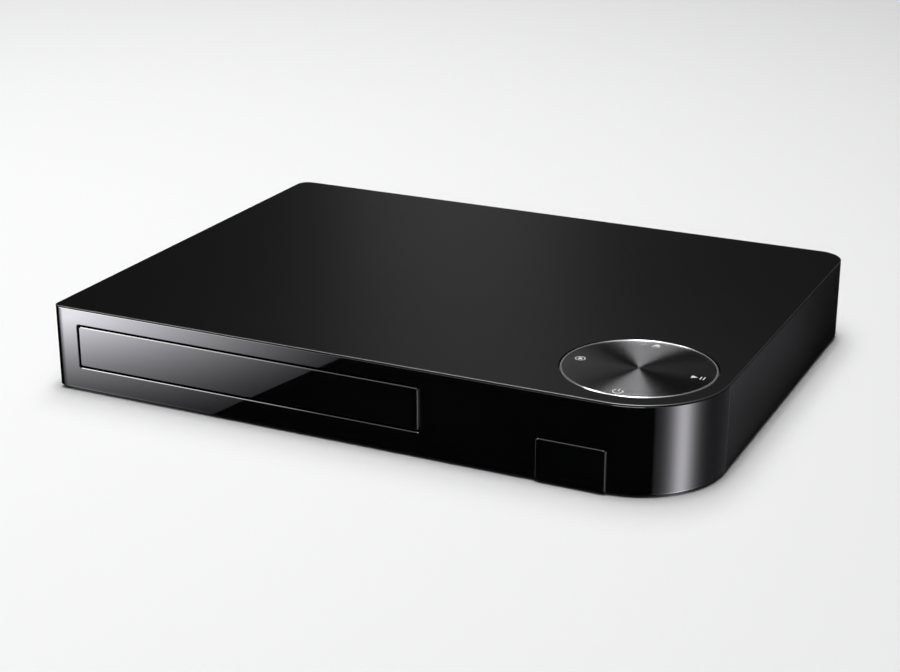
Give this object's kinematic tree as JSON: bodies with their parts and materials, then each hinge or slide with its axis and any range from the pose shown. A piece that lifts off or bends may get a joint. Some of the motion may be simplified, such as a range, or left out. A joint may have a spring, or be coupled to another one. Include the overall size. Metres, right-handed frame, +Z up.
{
  "type": "disc player",
  "caption": "Compact flat black disc player with a motorised drawer tray, spun-metal rocker control disc, drop-down port flap and rear sockets, complete with its loader inside.",
  "frame": {"origin": "centre of the whole part in plan, on the surface that its feet stand on", "axes": "+X to the right seen from the front, +Y to the rear, +Z up; the tray opens towards -Y"},
  "size_m": [0.265, 0.2054, 0.035],
  "materials": {
    "satin_cover": "satin black paint on a pressed steel cover, fine even grain",
    "gloss_black": "deep mirror gloss black",
    "textured_black": "fine spark texture, matte black",
    "foot_rubber": "matte black rubber",
    "spun_metal": "spun concentric brushing, dark anodised, bright turned bevel",
    "plated_steel": "bright zinc plate",
    "tray_plastic": "moulded black, fine texture",
    "frame_plastic": "moulded black",
    "white_plastic": "natural white acetal",
    "belt_rubber": "matte black rubber",
    "pickup_metal": "cast and machined",
    "lens_plastic": "moulded black",
    "lens_glass": "coated objective lens",
    "board_green": "solder mask green",
    "component_black": "moulded black epoxy",
    "transformer_core": "taped ferrite core",
    "ribbon_film": "white polyester film",
    "lead_sleeve": "vinyl sleeve"
  },
  "bodies": {
    "case": {"audio_jack": "component_black", "bottom_case": "textured_black", "case_screws": "plated_steel", "clamp_bridge": "plated_steel", "data_port": "plated_steel", "drive_belt": "belt_rubber", "flap_pin": "plated_steel", "foot_front_left": "foot_rubber", "foot_front_right": "foot_rubber", "foot_rear_left": "foot_rubber", "foot_rear_right": "foot_rubber", "front_board": "board_green", "front_panel": "gloss_black", "heat_sink": "pickup_metal", "inlet_pins": "plated_steel", "key_board": "board_green", "key_frame": "frame_plastic", "key_ribbon": "ribbon_film", "key_switches": "component_black", "loader_frame": "frame_plastic", "loader_screws": "plated_steel", "loading_motor": "plated_steel", "main_board": "board_green", "mains_inlet": "component_black", "network_socket": "plated_steel", "port_surround": "frame_plastic", "power_board": "board_green", "power_capacitors": "component_black", "power_leads": "lead_sleeve", "power_transformer": "transformer_core", "rear_panel": "textured_black", "remote_sensor": "component_black", "top_cover": "satin_cover", "video_socket": "plated_steel"},
    "tray": {"disc_tray": "tray_plastic", "tray_door": "gloss_black"},
    "drive_gear": {"drive_gear": "white_plastic"},
    "pulley_gear": {"pulley_gear": "white_plastic"},
    "motor_pulley": {"motor_pulley": "white_plastic"},
    "traverse": {"traverse_frame": "frame_plastic", "spindle_motor": "plated_steel", "guide_rod_left": "plated_steel", "guide_rod_right": "plated_steel", "sled_motor": "plated_steel"},
    "cam": {"cam_slider": "white_plastic"},
    "turntable": {"turntable": "white_plastic"},
    "clamper": {"clamper": "white_plastic", "clamp_magnet": "plated_steel"},
    "pickup": {"pickup_body": "pickup_metal", "lens_holder": "lens_plastic", "pickup_lens": "lens_glass"},
    "lead_screw": {"lead_screw": "plated_steel"},
    "flap": {"port_flap": "gloss_black"},
    "gimbal": {"gimbal_ring": "white_plastic"},
    "control": {"disc_carrier": "white_plastic", "control_disc": "spun_metal"},
    "stem_front": {"switch_stem_front": "component_black"},
    "stem_rear": {"switch_stem_rear": "component_black"},
    "stem_left": {"switch_stem_left": "component_black"},
    "stem_right": {"switch_stem_right": "component_black"}
  },
  "joints": [
    {"name": "tray_slide", "type": "slide", "parent": "case", "child": "tray", "axis": [0, -1, 0], "range_m": [0, 0.132]},
    {"name": "drive_gear_turn", "type": "hinge", "parent": "case", "child": "drive_gear", "pos_m": [0.0014, -0.07535, 0.0173], "axis": [0, 0, 1], "range_deg": [-950, 0]},
    {"name": "pulley_gear_turn", "type": "hinge", "parent": "case", "child": "pulley_gear", "pos_m": [-0.017, -0.07535, 0.0173], "axis": [0, 0, 1], "range_deg": [0, 2700]},
    {"name": "motor_pulley_turn", "type": "hinge", "parent": "case", "child": "motor_pulley", "pos_m": [-0.0446, -0.07535, 0.0173], "axis": [0, 0, 1], "range_deg": [0, 8700]},
    {"name": "traverse_tilt", "type": "hinge", "parent": "case", "child": "traverse", "pos_m": [-0.0466, 0.05165, 0.0118], "axis": [1, 0, 0], "range_deg": [0, 2.8]},
    {"name": "cam_slide", "type": "slide", "parent": "case", "child": "cam", "axis": [-1, 0, 0], "range_m": [0, 0.01201]},
    {"name": "turntable_spin", "type": "hinge", "parent": "traverse", "child": "turntable", "pos_m": [-0.0466, -0.03135, 0.017], "axis": [0, 0, 1], "continuous": true},
    {"name": "clamper_spin", "type": "hinge", "parent": "case", "child": "clamper", "pos_m": [-0.0466, -0.03135, 0.027], "axis": [0, 0, 1], "continuous": true},
    {"name": "pickup_slide", "type": "slide", "parent": "traverse", "child": "pickup", "axis": [0, 1, 0], "range_m": [0, 0.034]},
    {"name": "lead_screw_turn", "type": "hinge", "parent": "traverse", "child": "lead_screw", "pos_m": [-0.0166, -0.00335, 0.0126], "axis": [0, 1, 0], "range_deg": [0, 4100]},
    {"name": "flap_hinge", "type": "hinge", "parent": "case", "child": "flap", "pos_m": [0.0868, -0.09995, 0.0042], "axis": [1, 0, 0], "range_deg": [0, 90]},
    {"name": "control_rock_front_rear", "type": "hinge", "parent": "case", "child": "gimbal", "pos_m": [0.0981, -0.06605, 0.0302], "axis": [1, 0, 0], "range_deg": [-1, 1], "stiffness_Nm_per_rad": 2},
    {"name": "control_rock_left_right", "type": "hinge", "parent": "gimbal", "child": "control", "pos_m": [0.0981, -0.06605, 0.0302], "axis": [0, 1, 0], "range_deg": [-1, 1], "stiffness_Nm_per_rad": 2},
    {"name": "stem_press_front", "type": "slide", "parent": "case", "child": "stem_front", "axis": [0, 0, -1], "range_m": [0, 0.00025], "stiffness_N_per_m": 800},
    {"name": "stem_press_rear", "type": "slide", "parent": "case", "child": "stem_rear", "axis": [0, 0, -1], "range_m": [0, 0.00025], "stiffness_N_per_m": 800},
    {"name": "stem_press_left", "type": "slide", "parent": "case", "child": "stem_left", "axis": [0, 0, -1], "range_m": [0, 0.00025], "stiffness_N_per_m": 800},
    {"name": "stem_press_right", "type": "slide", "parent": "case", "child": "stem_right", "axis": [0, 0, -1], "range_m": [0, 0.00025], "stiffness_N_per_m": 800}
  ],
  "couplings": [
    {"joint": "drive_gear_turn", "follows": "tray_slide", "rad_per_m": -125},
    {"joint": "pulley_gear_turn", "follows": "tray_slide", "rad_per_m": 354.17},
    {"joint": "motor_pulley_turn", "follows": "tray_slide", "rad_per_m": 1138.9},
    {"joint": "cam_slide", "follows": "traverse_tilt", "m_per_rad": 0.24555},
    {"joint": "clamper_spin", "follows": "turntable_spin", "ratio": 1},
    {"joint": "lead_screw_turn", "follows": "pickup_slide", "rad_per_m": 2094.4}
  ]
}
